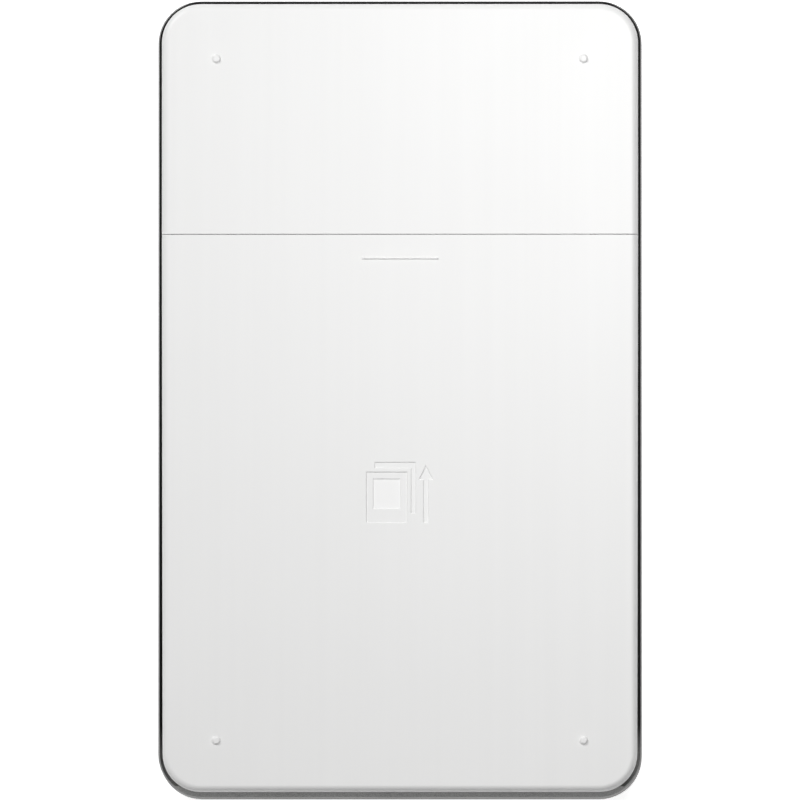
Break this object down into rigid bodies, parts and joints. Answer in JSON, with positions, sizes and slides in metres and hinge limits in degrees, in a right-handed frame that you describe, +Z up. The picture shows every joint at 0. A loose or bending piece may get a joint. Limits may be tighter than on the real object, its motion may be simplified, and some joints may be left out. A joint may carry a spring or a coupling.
{
  "type": "compact photo printer",
  "caption": "Compact photo printer: white panels round a dark band, a sliding and hinged paper cover, and a geared roller mechanism inside.",
  "frame": {"origin": "middle of the resting face, at its height", "axes": "+Z up from the resting face to the cover, +Y towards the end where the prints come out, +X across the case"},
  "size_m": [0.074, 0.1218, 0.0208],
  "materials": {
    "white_shell": "satin white moulding with a very fine brushed texture along its length",
    "grey_band": "dark grey metallic paint, satin",
    "tray_plastic": "fine spark-eroded charcoal moulding",
    "frame_steel": "bright zinc-plated sheet with rolled grain",
    "rod_steel": "ground and polished rod",
    "spring_steel": "drawn spring steel",
    "screw_steel": "nickel-plated screws",
    "motor_can": "drawn steel can, bright",
    "gear_plastic": "natural acetal",
    "pinion_brass": "hobbed brass",
    "roller_rubber": "ground black rubber",
    "cork": "pressed cork",
    "felt": "short black felt",
    "sink_aluminium": "extruded, bare",
    "head_ceramic": "glazed alumina plate",
    "battery_foil": "dull laminated foil pouch",
    "wire_red": "soft red insulation",
    "flex_copper": "amber film over copper tracks",
    "board_green": "green solder mask",
    "chip_black": "moulded black packages",
    "light_clear": "frosted clear rods"
  },
  "bodies": {
    "case": {"base_shell": "white_shell", "side_band": "grey_band", "head_panel": "white_shell", "chassis": "tray_plastic", "mech_frame": "frame_steel", "platen_bushes": "gear_plastic", "pickup_bushes": "gear_plastic", "motor": "motor_can", "gear_studs": "rod_steel", "head_rod": "rod_steel", "exit_guide": "tray_plastic", "separation_pad": "cork", "battery": "battery_foil", "battery_lead": "wire_red", "main_board": "board_green", "board_parts": "chip_black", "shield_can": "frame_steel", "usb_socket": "motor_can", "power_switch": "chip_black", "light_pipes": "light_clear", "paper_sensor": "chip_black", "case_screws": "screw_steel", "small_screws": "screw_steel", "head_flex": "flex_copper", "motor_lead": "wire_red", "hinge_pins": "rod_steel", "head_springs": "spring_steel"},
    "bracket": {"hinge_bracket": "frame_steel", "pad_pins": "rod_steel", "pad_spring": "spring_steel"},
    "cover": {"paper_cover": "white_shell"},
    "pad": {"pressure_pad": "tray_plastic", "pad_felt": "felt"},
    "platen": {"platen_shaft": "rod_steel", "platen_rubber": "roller_rubber", "platen_gear": "gear_plastic"},
    "pickup": {"pickup_shaft": "rod_steel", "pickup_core": "gear_plastic", "pickup_tyre": "roller_rubber", "pickup_gear": "gear_plastic"},
    "head": {"print_head": "head_ceramic", "heat_sink": "sink_aluminium"},
    "motor_rotor": {"motor_shaft": "rod_steel", "motor_pinion": "pinion_brass"},
    "first_wheel": {"first_gear": "gear_plastic"},
    "second_wheel": {"second_gear": "gear_plastic"},
    "idler": {"feed_idler": "gear_plastic"},
    "button": {"power_button": "grey_band"}
  },
  "joints": [
    {"name": "cover_flip", "type": "hinge", "parent": "case", "child": "bracket", "pos_m": [0, -0.05775, 0.0088], "axis": [1, 0, 0], "range_deg": [0, 65]},
    {"name": "cover_slide", "type": "slide", "parent": "bracket", "child": "cover", "axis": [0, -1, 0], "range_m": [0, 0.003]},
    {"name": "pad_swing", "type": "hinge", "parent": "bracket", "child": "pad", "pos_m": [0, -0.00301, 0.0159], "axis": [1, 0, 0], "range_deg": [0, 9], "stiffness_Nm_per_rad": 0.05, "springref_deg": -17.19, "deforming": ["pad_spring"]},
    {"name": "head_lift", "type": "hinge", "parent": "case", "child": "head", "pos_m": [0, 0.04745, 0.0122], "axis": [-1, 0, 0], "range_deg": [0, 2], "stiffness_Nm_per_rad": 0.5, "springref_deg": -4.58, "deforming": ["head_springs"]},
    {"name": "power_press", "type": "slide", "parent": "case", "child": "button", "axis": [-1, 0, 0], "range_m": [0, 0.0005], "stiffness_N_per_m": 600, "springref_m": -0.001},
    {"name": "platen_spin", "type": "hinge", "parent": "case", "child": "platen", "pos_m": [-0.03, 0.03795, 0.0061], "axis": [1, 0, 0], "continuous": true},
    {"name": "pickup_spin", "type": "hinge", "parent": "case", "child": "pickup", "pos_m": [-0.03, 0.01839, 0.0061], "axis": [1, 0, 0], "continuous": true},
    {"name": "motor_spin", "type": "hinge", "parent": "case", "child": "motor_rotor", "pos_m": [-0.03, 0.0455, 0.00537], "axis": [1, 0, 0], "continuous": true},
    {"name": "first_spin", "type": "hinge", "parent": "case", "child": "first_wheel", "pos_m": [-0.03, 0.05056, 0.01208], "axis": [1, 0, 0], "continuous": true},
    {"name": "second_spin", "type": "hinge", "parent": "case", "child": "second_wheel", "pos_m": [-0.03, 0.04384, 0.0095], "axis": [1, 0, 0], "continuous": true},
    {"name": "idler_spin", "type": "hinge", "parent": "case", "child": "idler", "pos_m": [-0.03, 0.02817, 0.00818], "axis": [1, 0, 0], "continuous": true}
  ],
  "couplings": [
    {"joint": "second_spin", "follows": "platen_spin", "ratio": -1.4286},
    {"joint": "first_spin", "follows": "platen_spin", "ratio": 2.8571},
    {"joint": "motor_spin", "follows": "platen_spin", "ratio": -7.1429},
    {"joint": "idler_spin", "follows": "platen_spin", "ratio": -0.66667},
    {"joint": "pickup_spin", "follows": "platen_spin", "ratio": 1}
  ]
}
